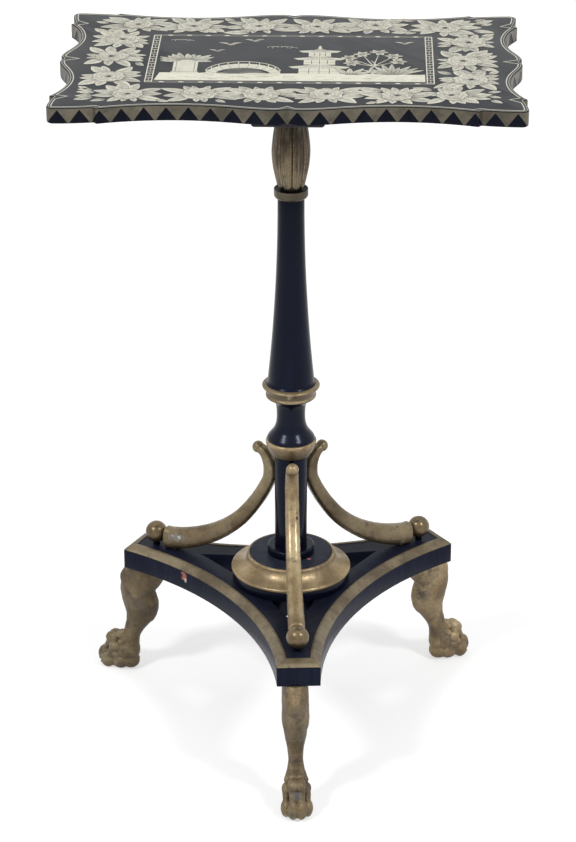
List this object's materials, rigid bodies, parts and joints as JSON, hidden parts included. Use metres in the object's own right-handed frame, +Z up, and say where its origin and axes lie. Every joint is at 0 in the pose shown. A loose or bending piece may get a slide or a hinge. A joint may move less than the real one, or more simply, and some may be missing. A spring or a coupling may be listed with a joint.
{
  "type": "occasional table",
  "caption": "Pedestal occasional table: scooped oblong top with a sawtooth rim on a turned black and gilt column, scroll brackets and a concave-sided platform on paw feet.",
  "frame": {"origin": "on the floor under the middle of the table's own box; the column stands 41 mm behind it", "axes": "+Z up, +X along the long side of the top, +Y from the front foot to the back"},
  "size_m": [0.454, 0.391, 0.73],
  "materials": {
    "penwork_board": "ebonised and polished board with ivory penwork on top and a painted rim",
    "ebonised_wood": "ebonised and polished wood",
    "gilded_wood": "worn antique gilding on carved and turned wood",
    "plain_wood": "bare wood, hidden in the joints",
    "screw_steel": "plain steel screws"
  },
  "bodies": {
    "root": {"top_board": "penwork_board", "top_bearer": "ebonised_wood", "bearer_screws": "screw_steel", "capital": "gilded_wood", "capital_wedge": "plain_wood", "neck_ring": "gilded_wood", "shaft": "ebonised_wood", "collar_ring": "gilded_wood", "knop": "ebonised_wood", "cup_ring": "gilded_wood", "lower_column": "ebonised_wood", "column_wedge": "plain_wood", "step_ring": "ebonised_wood", "boss_cap": "ebonised_wood", "boss_moulding": "gilded_wood", "boss_drum": "ebonised_wood", "platform": "ebonised_wood", "bracket_pins": "plain_wood", "bracket_dowels": "plain_wood", "ball_pegs": "ebonised_wood", "foot_dowels": "plain_wood", "corner_band_front": "gilded_wood", "bracket_front": "gilded_wood", "ball_front": "gilded_wood", "foot_front": "gilded_wood", "corner_band_right": "gilded_wood", "bracket_right": "gilded_wood", "ball_right": "gilded_wood", "foot_right": "gilded_wood", "corner_band_left": "gilded_wood", "bracket_left": "gilded_wood", "ball_left": "gilded_wood", "foot_left": "gilded_wood", "side_band_right": "gilded_wood", "side_band_back": "gilded_wood", "side_band_left": "gilded_wood"}
  },
  "joints": []
}
